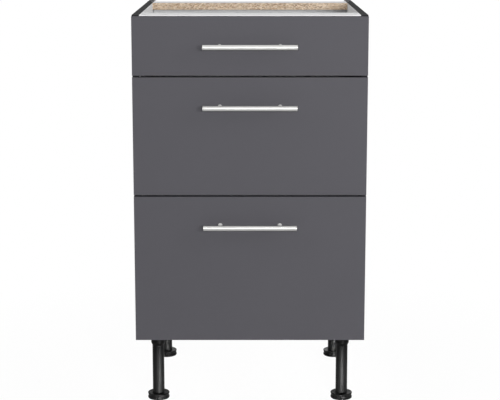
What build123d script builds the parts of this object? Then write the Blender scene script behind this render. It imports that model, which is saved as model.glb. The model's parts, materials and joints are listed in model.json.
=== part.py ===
from build123d import *
import os

# Base cabinet with three drawers, standing on four adjustable legs.
# Millimetres. X runs to the right, Y to the back and Z up. Inside this file the faces of the
# drawer fronts lie at Y = 0; save() moves every piece so that the origin lies on the floor, in
# the middle of the whole cabinet, handles included.

# ---- carcass ----
WIDTH = 500.0
HEIGHT = 870.0
LEG_HEIGHT = 166.0            # floor to the underside of the carcass
BOARD = 16.0
FRONT_RAIL_DEPTH = 76.0
REAR_RAIL_DEPTH = 62.0
RUNNER_END_SPACE = 39.0       # behind the runners, to the back panel
SERVICE_VOID = 70.0           # free space for pipes behind the back panel
BACK_PANEL = 3.0
BACK_GROOVE_DEPTH = 8.0
BACK_PLAY = 0.1               # round the back panel in its grooves
WORKTOP_HOLE = 5.0
WORKTOP_HOLE_SPACING = 300.0

# ---- fronts ----
FRONT_BOARD = 18.0
BUFFER_GAP = 2.0              # closed front to the edge of the carcass
SIDE_REVEAL = 0.5             # each front is this much narrower than the carcass, each side
TOP_REVEAL = 2.0
BOTTOM_OVERHANG = 2.0         # the lowest front reaches this far below the carcass
FRONT_GAP = 3.5
TOP_FRONT_HEIGHT = 124.5
MIDDLE_FRONT_HEIGHT = 253.5
FRONT_EDGE_RADIUS = 1.0

# ---- knock-down joints ----
CAM_DIAMETER = 15.0
CAM_DEPTH = 12.5
CAM_FROM_END = 34.0
CAM_SLOT = 7.0
BOLT_DIAMETER = 6.0
BOLT_HEAD = 5.6
BOLT_NECK = 3.6
BOLT_HEAD_LENGTH = 2.6
BOLT_NECK_LENGTH = 4.0
BOLT_THREAD = 5.0
BOLT_THREAD_LENGTH = 11.0
DOWEL_DIAMETER = 8.0
DOWEL_LENGTH = 30.0
DOWEL_IN_SIDE = 10.0
DOWEL_CHAMFER = 1.0
DOWEL_FROM_CAM = 32.0
JOINT_FROM_EDGE = 15.0        # outermost dowel to the edge of its board
BORE_PLAY = 0.1               # a drilled hole is this much wider than what sits in it
BORE_END_PLAY = 1.0           # and this much deeper

# ---- legs ----
LEG_FROM_SIDE = 42.9          # leg axis to the outside of the cabinet
FRONT_LEG_SETBACK = 78.0      # leg axis to the front edge of the carcass
REAR_LEG_SETBACK = 87.0       # leg axis to the rear edge of the bottom panel
TUBE_DIAMETER = 26.2
TUBE_BORE = 22.0
SPIGOT_DIAMETER = 24.4        # upper end of the tube, inside the socket
SOCKET_PLAY = 0.1
SOCKET_FLANGE = 60.0
SOCKET_FLANGE_THICKNESS = 4.0
SOCKET_COLLAR = 31.5
SOCKET_HEIGHT = 41.0
SOCKET_TAPER = 6.0
SOCKET_CROWN = 3.0            # closed upper end of the socket's bore
SOCKET_RIB = 2.4
SOCKET_RIB_HEIGHT = 22.0
SOCKET_RIB_ROOT = 1.0         # the ribs start this far inside the collar's wall
SOCKET_RIB_SHORT = 2.0        # and end this far from the rim of the flange
SOCKET_SCREW_CIRCLE = 46.0
FOOT_DIAMETER = 48.6
FOOT_DISC = 14.0
FOOT_BOTTOM_BEVEL = 3.6
FOOT_TOP_BEVEL = 1.4
FOOT_WAIST_HEIGHT = 8.0       # middle of the hollow round the rim
FOOT_WAIST_HALF = 4.0         # half the hollow's height
FOOT_WAIST_DEPTH = 1.1
FOOT_NOTCHES = 4
FOOT_NOTCH_DIAMETER = 4.0
FOOT_NOTCH_HEIGHT = 9.0       # the notches end under the upper rim
FOOT_TURN = -7.0              # degrees, where the adjusting notches have stopped
FOOT_STEM_PLAY = 0.3          # radial, in the tube
FOOT_STEM_LENGTH = 96.0
FOOT_REST_GAP = 0.3           # tube end to disc with the foot screwed in

# ---- screws of rails and legs ----
SCREW_DIAMETER = 4.0
SCREW_LENGTH = 15.0
SCREW_HEAD = 8.0
SCREW_HEAD_LENGTH = 2.0
SCREW_END_PLAY = 1.0          # a screw's hole is this much deeper than its point

# ---- runners ----
RUNNER_LENGTH = 450.0
RUNNER_SETBACK = 2.0          # behind the front edge of the carcass
RUNNER_HEIGHT = 45.0
RUNNER_WIDTH = 12.7
RUNNER_OVER_BOX = 7.5         # lower edge of the runner over the lower edge of the drawer's side
RAIL_WALL = 1.2
RAIL_LIP = 1.5
RAIL_BEND = 0.4               # inside radius of a fold
CABINET_RAIL_WIDTH = 11.0
MIDDLE_RAIL_WIDTH = 7.1
DRAWER_RAIL_WIDTH = 8.2
ROLLER_PLAY = 0.3
OUTER_ROLLER = 3.8
INNER_ROLLER = 3.4
CAGE_WALL = 0.4
CAGE_LENGTH = 200.0
CAGE_STRIP = 2.8
ROLLERS_PER_ROW = 3
RUNNER_FRONT_SCREW = 35.0     # from the runner's front end
RUNNER_MIDDLE_SCREW = 259.0
RUNNER_REAR_SCREW = 63.0      # from its rear end

# ---- drawer boxes ----
BOX_RISE = 10.5               # over the lower edge of the drawer's own front
BOX_OVER_BOTTOM_PANEL = 8.0   # lowest drawer
DRAWER_SIDE_HEIGHT = 86.0
DRAWER_SIDE_THICKNESS = 13.0
SHEET = 1.0
SIDE_FOLD_RADIUS = 2.5
SIDE_FLANGE = 12.0            # inward flange that carries the drawer's bottom
SIDE_FLANGE_THICKNESS = 1.2
REAR_TAB = 22.0               # steel side turned in behind the back board
REAR_TAB_TOP = 6.0            # below the top of the side
DRAWER_BOARD = 16.0
DRAWER_BOARD_PLAY = 0.4       # to the steel sides
LOW_BACK_BELOW_SIDE = 2.0
DEEP_BACK_HEIGHT = 190.0
GALLERY_ROD = 10.0
GALLERY_ROD_HEIGHT = 140.0
GALLERY_COLLAR = 15.0
GALLERY_COLLAR_LENGTH = 8.0
GALLERY_INSET = 8.4           # rod axis to the inner face of the steel side
BRACKET_DEPTH = 40.0
BRACKET_HEIGHT = 66.0
BRACKET_PLATE = 6.0
BRACKET_TAPER = 16.0
BRACKET_PLAY = 0.3
BRACKET_OVER_BOX = 10.0
BRACKET_SPIGOT = 10.0
BRACKET_SPIGOT_LENGTH = 11.0
BRACKET_SPIGOT_SPACING = 32.0

# ---- handles ----
HANDLE_LENGTH = 200.0
HANDLE_DIAMETER = 12.0
HANDLE_PROJECTION = 36.0      # face of the front to the outermost line of the bar
HANDLE_DROP = 62.5            # bar axis to the upper edge of the front
HANDLE_END_CHAMFER = 0.8
POST_SPACING = 128.0
POST_DIAMETER = 9.5
HANDLE_SCREW = 4.0
HANDLE_SCREW_REACH = 12.0     # into the post
HANDLE_SCREW_HEAD = 8.0
HANDLE_SCREW_HEAD_LENGTH = 2.4
HANDLE_SCREW_HEAD_BEVEL = 0.8

# ---- worked out from the sizes above ----
CARCASS_FRONT = FRONT_BOARD + BUFFER_GAP
INNER_HALF = WIDTH / 2 - BOARD
RUNNER_FRONT = CARCASS_FRONT + RUNNER_SETBACK
RUNNER_END = RUNNER_FRONT + RUNNER_LENGTH
BACK_FRONT_FACE = RUNNER_END + RUNNER_END_SPACE
DEPTH = BACK_FRONT_FACE + BACK_PANEL + SERVICE_VOID
RAIL_BOTTOM = HEIGHT - BOARD
FRONTS_BOTTOM = LEG_HEIGHT - BOTTOM_OVERHANG
FRONTS_TOP = HEIGHT - TOP_REVEAL
MIDDLE_FRONT_TOP = FRONTS_TOP - TOP_FRONT_HEIGHT - FRONT_GAP
BOTTOM_FRONT_TOP = MIDDLE_FRONT_TOP - MIDDLE_FRONT_HEIGHT - FRONT_GAP
LEG_X = WIDTH / 2 - LEG_FROM_SIDE
FRONT_LEG_Y = CARCASS_FRONT + FRONT_LEG_SETBACK
REAR_LEG_Y = BACK_FRONT_FACE - REAR_LEG_SETBACK
TUBE_TOP = LEG_HEIGHT - SOCKET_CROWN - BORE_PLAY
SOCKET_BOTTOM = LEG_HEIGHT - SOCKET_HEIGHT
RUNNER_SCREWS = (RUNNER_FRONT + RUNNER_FRONT_SCREW, RUNNER_FRONT + RUNNER_MIDDLE_SCREW,
                 RUNNER_END - RUNNER_REAR_SCREW)
CABINET_HALF = RUNNER_HEIGHT / 2
MIDDLE_HALF = CABINET_HALF - RAIL_WALL - OUTER_ROLLER - 2 * ROLLER_PLAY
DRAWER_HALF = MIDDLE_HALF - RAIL_WALL - INNER_ROLLER - 2 * ROLLER_PLAY
MIDDLE_WEB = RAIL_WALL + CAGE_WALL + 2 * ROLLER_PLAY
DRAWER_SIDE_OUTSIDE = INNER_HALF - RUNNER_WIDTH
DRAWER_SIDE_INSIDE = DRAWER_SIDE_OUTSIDE - DRAWER_SIDE_THICKNESS
DRAWER_BOARD_HALF = DRAWER_SIDE_INSIDE - DRAWER_BOARD_PLAY
DRAWER_FLOOR = SIDE_FLANGE_THICKNESS + DRAWER_BOARD
DRAWER_END = FRONT_BOARD + RUNNER_LENGTH
BACK_BOARD_FRONT = DRAWER_END - SHEET - DRAWER_BOARD
BAR_Y = HANDLE_DIAMETER / 2 - HANDLE_PROJECTION
ORIGIN_Y = (DEPTH - HANDLE_PROJECTION) / 2

# each drawer: lower and upper edge of its front, lower edge of its box, height of its back
DRAWERS = {
    1: (FRONTS_TOP - TOP_FRONT_HEIGHT, FRONTS_TOP,
        FRONTS_TOP - TOP_FRONT_HEIGHT + BOX_RISE, DRAWER_SIDE_HEIGHT - LOW_BACK_BELOW_SIDE),
    2: (BOTTOM_FRONT_TOP + FRONT_GAP, MIDDLE_FRONT_TOP,
        BOTTOM_FRONT_TOP + FRONT_GAP + BOX_RISE, DEEP_BACK_HEIGHT),
    3: (FRONTS_BOTTOM, BOTTOM_FRONT_TOP,
        LEG_HEIGHT + BOARD + BOX_OVER_BOTTOM_PANEL, DEEP_BACK_HEIGHT),
}
DEEP_DRAWERS = (2, 3)
LEGS = {
    "front_left": (-LEG_X, FRONT_LEG_Y),
    "front_right": (LEG_X, FRONT_LEG_Y),
    "rear_left": (-LEG_X, REAR_LEG_Y),
    "rear_right": (LEG_X, REAR_LEG_Y),
}


# ---- shared shapes ----

def block(x, y, z):
    """A board from its low and high X, Y and Z."""
    size = (x[1] - x[0], y[1] - y[0], z[1] - z[0])
    return Pos(x[0], y[0], z[0]) * Box(*size, align=(Align.MIN, Align.MIN, Align.MIN))


def along_y(points, start, length):
    """A section of (x, z) points run from start towards the back."""
    outline = Polyline(*[(x, start, z) for x, z in points], close=True)
    return extrude(make_face(outline), amount=length, dir=(0, 1, 0))


def turned(points):
    """A profile of (radius, z) points turned about the Z axis."""
    return revolve(make_face(Polyline(*[(r, 0, z) for r, z in points], close=True)), axis=Axis.Z)


def rod(radius, start, end):
    """A round bar or drill from one point to another."""
    direction = Vector(*end) - Vector(*start)
    base = Plane(origin=start, z_dir=direction)
    return base * Cylinder(radius, direction.length, align=(Align.CENTER, Align.CENTER, Align.MIN))


def both_sides(left):
    """A left piece and its mirror image."""
    return [left, mirror(left, about=Plane.YZ)]


def group(solids):
    return Compound([solid for shape in solids for solid in shape.solids()])


def save(name, shape):
    export_step(Pos(0, -ORIGIN_Y, 0) * shape, f"parts/{name}.step")


# ---- knock-down joints: cam, bolt and dowels at both ends of a board ----

def board_joints():
    """Underside, cam Y and dowel Y of every joint between a board and a side panel."""
    front = CARCASS_FRONT + JOINT_FROM_EDGE
    rear = BACK_FRONT_FACE - JOINT_FROM_EDGE
    return [
        (RAIL_BOTTOM, front + DOWEL_FROM_CAM, front),
        (RAIL_BOTTOM, rear - DOWEL_FROM_CAM, rear),
        (LEG_HEIGHT, front + DOWEL_FROM_CAM, front),
        (LEG_HEIGHT, rear - DOWEL_FROM_CAM, rear),
    ]


def cam_at(underside, y):
    """Left-hand cam housing with the slot that takes the bolt's head."""
    x = -INNER_HALF + CAM_FROM_END
    barrel = rod(CAM_DIAMETER / 2, (x, y, underside), (x, y, underside + CAM_DEPTH))
    middle = underside + BOARD / 2
    slot = block((x - CAM_DIAMETER, x + BOLT_HEAD_LENGTH), (y - CAM_SLOT / 2, y + CAM_SLOT / 2),
                 (middle - CAM_SLOT / 2, middle + CAM_SLOT / 2))
    return barrel - slot


def bolt_at(underside, y):
    """Left-hand cam bolt: threaded end in the side panel, head inside the cam."""
    z = underside + BOARD / 2
    head_x = -INNER_HALF + CAM_FROM_END
    neck_x = head_x - BOLT_HEAD_LENGTH
    shank_x = neck_x - BOLT_NECK_LENGTH
    end_x = -INNER_HALF - BOLT_THREAD_LENGTH
    return (rod(BOLT_HEAD / 2, (neck_x, y, z), (head_x, y, z))
            + rod(BOLT_NECK / 2, (shank_x, y, z), (neck_x, y, z))
            + rod(BOLT_DIAMETER / 2, (-INNER_HALF, y, z), (shank_x, y, z))
            + rod(BOLT_THREAD / 2, (end_x, y, z), (-INNER_HALF, y, z)))


def dowel_at(underside, y):
    z = underside + BOARD / 2
    start = -INNER_HALF - DOWEL_IN_SIDE
    dowel = rod(DOWEL_DIAMETER / 2, (start, y, z), (start + DOWEL_LENGTH, y, z))
    return chamfer(dowel.edges().filter_by(GeomType.CIRCLE), DOWEL_CHAMFER)


def joint_bores_in_board(underside, cam_y, dowel_y):
    """Left-hand bores of one joint in its board."""
    z = underside + BOARD / 2
    cam_x = -INNER_HALF + CAM_FROM_END
    dowel_end = -INNER_HALF - DOWEL_IN_SIDE + DOWEL_LENGTH + BORE_END_PLAY
    return [
        rod((CAM_DIAMETER + BORE_PLAY) / 2, (cam_x, cam_y, underside),
            (cam_x, cam_y, underside + CAM_DEPTH + BORE_PLAY)),
        rod((CAM_SLOT + BORE_PLAY) / 2, (-INNER_HALF, cam_y, z), (cam_x, cam_y, z)),
        rod((DOWEL_DIAMETER + BORE_PLAY) / 2, (-INNER_HALF, dowel_y, z), (dowel_end, dowel_y, z)),
    ]


def joint_bores_in_side(underside, cam_y, dowel_y):
    """Bores of one joint in the left side panel."""
    z = underside + BOARD / 2
    thread_end = -INNER_HALF - BOLT_THREAD_LENGTH - BORE_END_PLAY
    dowel_end = -INNER_HALF - DOWEL_IN_SIDE - BORE_END_PLAY
    return [
        rod((BOLT_THREAD + BORE_PLAY) / 2, (-INNER_HALF, cam_y, z), (thread_end, cam_y, z)),
        rod((DOWEL_DIAMETER + BORE_PLAY) / 2, (-INNER_HALF, dowel_y, z), (dowel_end, dowel_y, z)),
    ]


# ---- countersunk screws ----

def screw():
    """Countersunk screw, head down at Z = 0 and point up."""
    shank = SCREW_DIAMETER / 2
    return turned([(0, 0), (SCREW_HEAD / 2, 0), (shank, SCREW_HEAD_LENGTH),
                   (shank, SCREW_LENGTH - shank), (0, SCREW_LENGTH)])


def screw_hole():
    """Countersink and flat-ended pilot hole that a screw goes into."""
    play = BORE_PLAY / 2
    shank = SCREW_DIAMETER / 2 + play
    end = SCREW_LENGTH + SCREW_END_PLAY
    return turned([(0, -play), (SCREW_HEAD / 2 + play, -play), (shank, SCREW_HEAD_LENGTH), (shank, end),
                   (0, end)])


def socket_screw_places(leg_x, leg_y):
    angles = [45 + 90 * corner for corner in range(4)]
    circle = [Vector(SOCKET_SCREW_CIRCLE / 2, 0, 0).rotate(Axis.Z, angle) for angle in angles]
    z = LEG_HEIGHT - SOCKET_FLANGE_THICKNESS
    return [Pos(leg_x + point.X, leg_y + point.Y, z) for point in circle]


def at_socket_screws(shape):
    return [place * shape for leg in LEGS.values() for place in socket_screw_places(*leg)]


def runner_z(box_bottom):
    return box_bottom + RUNNER_OVER_BOX + CABINET_HALF


def at_left_runner_screws(box_bottom, shape):
    """Copies of a shape where the left cabinet rail is screwed outwards to the side panel."""
    z = runner_z(box_bottom)
    return [Pos(-INNER_HALF + RAIL_WALL, y, z) * Rot(0, -90, 0) * shape for y in RUNNER_SCREWS]


# ---- carcass ----

def side_panel_left():
    panel = block((-WIDTH / 2, -INNER_HALF), (CARCASS_FRONT, DEPTH), (LEG_HEIGHT, HEIGHT))
    groove = block((-INNER_HALF - BACK_GROOVE_DEPTH, -INNER_HALF),
                   (BACK_FRONT_FACE, BACK_FRONT_FACE + BACK_PANEL + 2 * BACK_PLAY),
                   (LEG_HEIGHT, HEIGHT))
    bores = [bore for joint in board_joints() for bore in joint_bores_in_side(*joint)]
    for front_bottom, front_top, box_bottom, back_height in DRAWERS.values():
        bores += at_left_runner_screws(box_bottom, screw_hole())
    return panel - groove - bores


def cross_board(y, underside):
    """Board between the side panels with the bores of its knock-down joints."""
    board = block((-INNER_HALF, INNER_HALF), y, (underside, underside + BOARD))
    joints = [joint for joint in board_joints() if joint[0] == underside
              and y[0] < joint[1] < y[1]]
    for joint in joints:
        for bore in joint_bores_in_board(*joint):
            board -= both_sides(bore)
    return board


def top_rail(y):
    """Top rail with the two holes for the worktop's screws."""
    rail = cross_board(y, RAIL_BOTTOM)
    middle = (y[0] + y[1]) / 2
    for x in (-WORKTOP_HOLE_SPACING / 2, WORKTOP_HOLE_SPACING / 2):
        rail -= rod(WORKTOP_HOLE / 2, (x, middle, RAIL_BOTTOM), (x, middle, HEIGHT))
    return rail


def back_panel():
    half = INNER_HALF + BACK_GROOVE_DEPTH - BACK_PLAY
    front = BACK_FRONT_FACE + BACK_PLAY
    return block((-half, half), (front, front + BACK_PANEL), (LEG_HEIGHT, HEIGHT))


def save_carcass():
    left = side_panel_left()
    save("side_panel_left", left)
    save("side_panel_right", mirror(left, about=Plane.YZ))
    bottom = cross_board((CARCASS_FRONT, BACK_FRONT_FACE), LEG_HEIGHT)
    save("bottom_panel", bottom - at_socket_screws(screw_hole()))
    save("front_rail", top_rail((CARCASS_FRONT, CARCASS_FRONT + FRONT_RAIL_DEPTH)))
    save("rear_rail", top_rail((BACK_FRONT_FACE - REAR_RAIL_DEPTH, BACK_FRONT_FACE)))
    save("back_panel", back_panel())
    cams, bolts, dowels = [], [], []
    for underside, cam_y, dowel_y in board_joints():
        cams += both_sides(cam_at(underside, cam_y))
        bolts += both_sides(bolt_at(underside, cam_y))
        dowels += both_sides(dowel_at(underside, dowel_y))
    save("cam_housings", group(cams))
    save("cam_bolts", group(bolts))
    save("dowels", group(dowels))
    screws = at_socket_screws(screw())
    for front_bottom, front_top, box_bottom, back_height in DRAWERS.values():
        for left in at_left_runner_screws(box_bottom, screw()):
            screws += both_sides(left)
    save("wood_screws", group(screws))


# ---- legs ----

def leg_socket():
    """Flange under the bottom panel with a ribbed collar that holds the tube."""
    collar = SOCKET_COLLAR / 2
    bore = (SPIGOT_DIAMETER + SOCKET_PLAY) / 2
    flange_bottom = LEG_HEIGHT - SOCKET_FLANGE_THICKNESS
    crown = LEG_HEIGHT - SOCKET_CROWN
    body = turned([(bore, SOCKET_BOTTOM), (TUBE_DIAMETER / 2, SOCKET_BOTTOM),
                   (collar, SOCKET_BOTTOM + SOCKET_TAPER), (collar, flange_bottom),
                   (SOCKET_FLANGE / 2, flange_bottom), (SOCKET_FLANGE / 2, LEG_HEIGHT),
                   (0, LEG_HEIGHT), (0, crown), (bore, crown)])
    root = bore + SOCKET_RIB_ROOT
    rib_foot = flange_bottom - SOCKET_RIB_HEIGHT
    rib_end = SOCKET_FLANGE / 2 - SOCKET_RIB_SHORT
    rib_outline = Polyline((root, 0, flange_bottom), (root, 0, rib_foot), (collar, 0, rib_foot),
                           (rib_end, 0, flange_bottom), close=True)
    rib = extrude(make_face(rib_outline), amount=SOCKET_RIB / 2, both=True)
    for quarter in range(4):
        body += Rot(0, 0, 90 * quarter) * rib
    return body


def leg_tube():
    """Tube with a narrower spigot in the socket; its lower end stops the foot."""
    bottom = FOOT_DISC + FOOT_REST_GAP
    bore = TUBE_BORE / 2
    return turned([(bore, bottom), (TUBE_DIAMETER / 2, bottom), (TUBE_DIAMETER / 2, SOCKET_BOTTOM - BORE_PLAY),
                   (SPIGOT_DIAMETER / 2, SOCKET_BOTTOM - BORE_PLAY), (SPIGOT_DIAMETER / 2, TUBE_TOP),
                   (bore, TUBE_TOP)])


def foot():
    """Disc with a hollowed rim, grip notches and bevelled edges, on a stem in the tube."""
    outer = FOOT_DIAMETER / 2
    stem = TUBE_BORE / 2 - FOOT_STEM_PLAY
    stem_top = FOOT_DISC + FOOT_STEM_LENGTH
    waist_low = FOOT_WAIST_HEIGHT - FOOT_WAIST_HALF
    waist_high = FOOT_WAIST_HEIGHT + FOOT_WAIST_HALF
    outline = [
        Polyline((outer, waist_high), (outer, FOOT_DISC - FOOT_TOP_BEVEL),
                 (outer - FOOT_TOP_BEVEL, FOOT_DISC), (stem, FOOT_DISC), (stem, stem_top), (0, stem_top),
                 (0, 0), (outer - FOOT_BOTTOM_BEVEL, 0), (outer, FOOT_BOTTOM_BEVEL), (outer, waist_low)),
        ThreePointArc((outer, waist_low), (outer - FOOT_WAIST_DEPTH, FOOT_WAIST_HEIGHT),
                      (outer, waist_high)),
    ]
    body = revolve(Plane.XZ * make_face(outline), axis=Axis.Z)
    for step in range(FOOT_NOTCHES):
        notch = rod(FOOT_NOTCH_DIAMETER / 2, (0, -outer, 0), (0, -outer, FOOT_NOTCH_HEIGHT))
        body -= Rot(0, 0, FOOT_TURN + 360 / FOOT_NOTCHES * step) * notch
    return body


def save_legs():
    socket = leg_socket()
    screw_holes = at_socket_screws(screw_hole())
    save("leg_sockets", group([Pos(x, y, 0) * socket - screw_holes for x, y in LEGS.values()]))
    for corner, (x, y) in LEGS.items():
        save(f"leg_tube_{corner}", Pos(x, y, 0) * leg_tube())
        save(f"foot_{corner}", Pos(x, y, 0) * foot())


# ---- runners ----

def across(one, other):
    """Low and high X between two distances measured inwards from the left side panel."""
    return min(one, other) - INNER_HALF, max(one, other) - INNER_HALF


def left_rail(web, tip, half, z):
    """Left rail, rolled from strip: web at one distance inwards, turned-in lips at the other."""
    towards = 1 if tip > web else -1
    inner_web = web + towards * RAIL_WALL
    inner_lip = tip - towards * RAIL_WALL
    flange = half - RAIL_WALL
    mouth = flange - RAIL_LIP
    y = (RUNNER_FRONT, RUNNER_END)
    strip = block(across(web, tip), y, (z - half, z + half))
    strip = fillet(strip.edges().filter_by(Axis.Y), RAIL_BEND + RAIL_WALL)
    hollow = block(across(inner_web, inner_lip), y, (z - flange, z + flange))
    hollow = fillet(hollow.edges().filter_by(Axis.Y), RAIL_BEND)
    return strip - hollow - block(across(inner_lip, tip), y, (z - mouth, z + mouth))


def left_cage(web, strip_end, row, roller, z):
    """Left roller cage: thin web between two rails, with a row of rollers above and below."""
    start = RUNNER_FRONT + (RUNNER_LENGTH - CAGE_LENGTH) / 2
    x = (web - INNER_HALF, strip_end - INNER_HALF)
    y = (start, start + CAGE_LENGTH)
    cage = block((x[0], x[0] + CAGE_WALL), y, (z - row, z + row))
    pitch = CAGE_LENGTH / ROLLERS_PER_ROW
    for height in (z - row, z + row):
        cage += block(x, y, (height - CAGE_STRIP / 2, height + CAGE_STRIP / 2))
        for place in range(ROLLERS_PER_ROW):
            roller_y = start + pitch * (place + 0.5)
            cage += rod(roller / 2, (x[0], roller_y, height), (x[1], roller_y, height))
    return cage


def save_runner(number, box_bottom):
    z = runner_z(box_bottom)
    cabinet = left_rail(0, CABINET_RAIL_WIDTH, CABINET_HALF, z)
    cabinet -= at_left_runner_screws(box_bottom, screw_hole())
    middle = left_rail(MIDDLE_WEB, MIDDLE_WEB + MIDDLE_RAIL_WIDTH, MIDDLE_HALF, z)
    drawer = left_rail(RUNNER_WIDTH, RUNNER_WIDTH - DRAWER_RAIL_WIDTH, DRAWER_HALF, z)
    outer_row = CABINET_HALF - RAIL_WALL - ROLLER_PLAY - OUTER_ROLLER / 2
    outer = left_cage(RAIL_WALL + ROLLER_PLAY, CABINET_RAIL_WIDTH - RAIL_WALL - 2 * ROLLER_PLAY,
                      outer_row, OUTER_ROLLER, z)
    inner_row = MIDDLE_HALF - RAIL_WALL - ROLLER_PLAY - INNER_ROLLER / 2
    inner = left_cage(MIDDLE_WEB + RAIL_WALL + ROLLER_PLAY,
                      MIDDLE_WEB + MIDDLE_RAIL_WIDTH - RAIL_WALL - ROLLER_PLAY,
                      inner_row, INNER_ROLLER, z)
    save(f"cabinet_rails_{number}", group(both_sides(cabinet)))
    save(f"middle_rails_{number}", group(both_sides(middle)))
    save(f"drawer_rails_{number}", group(both_sides(drawer)))
    save(f"outer_roller_cages_{number}", group(both_sides(outer)))
    save(f"inner_roller_cages_{number}", group(both_sides(inner)))


# ---- drawers ----

def bracket_spigot_places(box_bottom):
    """Left spigots of the bracket that holds the front, as (x, z)."""
    x = -DRAWER_SIDE_OUTSIDE + DRAWER_SIDE_THICKNESS / 2
    middle = box_bottom + BRACKET_OVER_BOX + BRACKET_HEIGHT / 2
    return [(x, middle - BRACKET_SPIGOT_SPACING / 2), (x, middle + BRACKET_SPIGOT_SPACING / 2)]


def drawer_front(bottom, top, box_bottom):
    half = WIDTH / 2 - SIDE_REVEAL
    front = block((-half, half), (0, FRONT_BOARD), (bottom, top))
    front = fillet(front.faces().sort_by(Axis.Y)[0].edges() + front.faces().sort_by(Axis.Y)[-1].edges(),
                   FRONT_EDGE_RADIUS)
    for x in (-POST_SPACING / 2, POST_SPACING / 2):
        z = top - HANDLE_DROP
        front -= rod((HANDLE_SCREW + 2 * BORE_PLAY) / 2, (x, 0, z), (x, FRONT_BOARD, z))
    depth = BRACKET_SPIGOT_LENGTH + BORE_END_PLAY
    for x, z in bracket_spigot_places(box_bottom):
        front -= both_sides(rod((BRACKET_SPIGOT + BORE_PLAY) / 2, (x, FRONT_BOARD - depth, z),
                                (x, FRONT_BOARD, z)))
    return front


def handle(z):
    """Round bar on two posts, each with a blind hole for its screw."""
    half = HANDLE_LENGTH / 2
    bar = rod(HANDLE_DIAMETER / 2, (-half, BAR_Y, z), (half, BAR_Y, z))
    body = chamfer(bar.edges().filter_by(GeomType.CIRCLE), HANDLE_END_CHAMFER)
    for x in (-POST_SPACING / 2, POST_SPACING / 2):
        body += rod(POST_DIAMETER / 2, (x, BAR_Y, z), (x, 0, z))
    for x in (-POST_SPACING / 2, POST_SPACING / 2):
        body -= rod((HANDLE_SCREW + BORE_PLAY) / 2, (x, -HANDLE_SCREW_REACH - BORE_END_PLAY, z), (x, 0, z))
    return body


def handle_screws(z):
    screws = []
    for x in (-POST_SPACING / 2, POST_SPACING / 2):
        head_end = FRONT_BOARD + HANDLE_SCREW_HEAD_LENGTH
        head = rod(HANDLE_SCREW_HEAD / 2, (x, FRONT_BOARD, z), (x, head_end, z))
        head = chamfer(head.edges().filter_by(GeomType.CIRCLE).sort_by(Axis.Y)[-1],
                       HANDLE_SCREW_HEAD_BEVEL)
        screws.append(head + rod(HANDLE_SCREW / 2, (x, -HANDLE_SCREW_REACH, z), (x, FRONT_BOARD, z)))
    return group(screws)


def drawer_side_left(box_bottom):
    """Folded sheet: outer wall, top, inner wall, flange under the bottom, tab behind the back."""
    outside, inside = -DRAWER_SIDE_OUTSIDE, -DRAWER_SIDE_INSIDE
    top = box_bottom + DRAWER_SIDE_HEIGHT
    flange_top = box_bottom + SIDE_FLANGE_THICKNESS
    section = [(outside, box_bottom), (outside, top), (inside, top), (inside, flange_top),
               (inside + SIDE_FLANGE, flange_top), (inside + SIDE_FLANGE, box_bottom),
               (inside - SHEET, box_bottom), (inside - SHEET, top - SHEET),
               (outside + SHEET, top - SHEET), (outside + SHEET, box_bottom)]
    side = along_y(section, FRONT_BOARD, RUNNER_LENGTH)
    side += block((inside - SHEET, inside + REAR_TAB), (DRAWER_END - SHEET, DRAWER_END),
                  (flange_top, top - REAR_TAB_TOP))
    folds = side.edges().filter_by(Axis.Y).filter_by_position(Axis.Z, top - SHEET / 2, top + SHEET / 2)
    side = fillet(folds, SIDE_FOLD_RADIUS)
    folds = side.edges().filter_by(Axis.Y).filter_by_position(
        Axis.Z, top - SHEET * 1.5, top - SHEET / 2)
    return fillet(folds, SIDE_FOLD_RADIUS - SHEET)


def drawer_boards(box_bottom, back_height):
    """Bottom on the flanges of the sides, and the back standing on it."""
    half = (-DRAWER_BOARD_HALF, DRAWER_BOARD_HALF)
    under = box_bottom + SIDE_FLANGE_THICKNESS
    bottom = block(half, (FRONT_BOARD, BACK_BOARD_FRONT + DRAWER_BOARD), (under, under + DRAWER_BOARD))
    back = block(half, (BACK_BOARD_FRONT, BACK_BOARD_FRONT + DRAWER_BOARD),
                 (box_bottom + DRAWER_FLOOR, box_bottom + back_height))
    return bottom, back


def front_bracket_left(box_bottom):
    """Moulded bracket inside the double wall, with two spigots knocked into the front."""
    low = box_bottom + BRACKET_OVER_BOX
    high = low + BRACKET_HEIGHT
    x = -DRAWER_SIDE_OUTSIDE + SHEET + BRACKET_PLAY
    width = DRAWER_SIDE_THICKNESS - 2 * (SHEET + BRACKET_PLAY)
    outline = Polyline((x, FRONT_BOARD, low), (x, FRONT_BOARD, high),
                       (x, FRONT_BOARD + BRACKET_PLATE, high),
                       (x, FRONT_BOARD + BRACKET_DEPTH, high - BRACKET_TAPER),
                       (x, FRONT_BOARD + BRACKET_DEPTH, low + BRACKET_TAPER),
                       (x, FRONT_BOARD + BRACKET_PLATE, low), close=True)
    body = extrude(make_face(outline), amount=width, dir=(1, 0, 0))
    for spigot_x, z in bracket_spigot_places(box_bottom):
        body += rod(BRACKET_SPIGOT / 2, (spigot_x, FRONT_BOARD - BRACKET_SPIGOT_LENGTH, z),
                    (spigot_x, FRONT_BOARD, z))
    return body


def gallery_rod_left(box_bottom):
    """Side rod of a deep drawer, with a collar at the front and at the back board."""
    x = -DRAWER_SIDE_INSIDE + GALLERY_INSET
    z = box_bottom + GALLERY_ROD_HEIGHT
    start, end = FRONT_BOARD, BACK_BOARD_FRONT
    return (rod(GALLERY_ROD / 2, (x, start, z), (x, end, z))
            + rod(GALLERY_COLLAR / 2, (x, start, z), (x, start + GALLERY_COLLAR_LENGTH, z))
            + rod(GALLERY_COLLAR / 2, (x, end - GALLERY_COLLAR_LENGTH, z), (x, end, z)))


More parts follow.
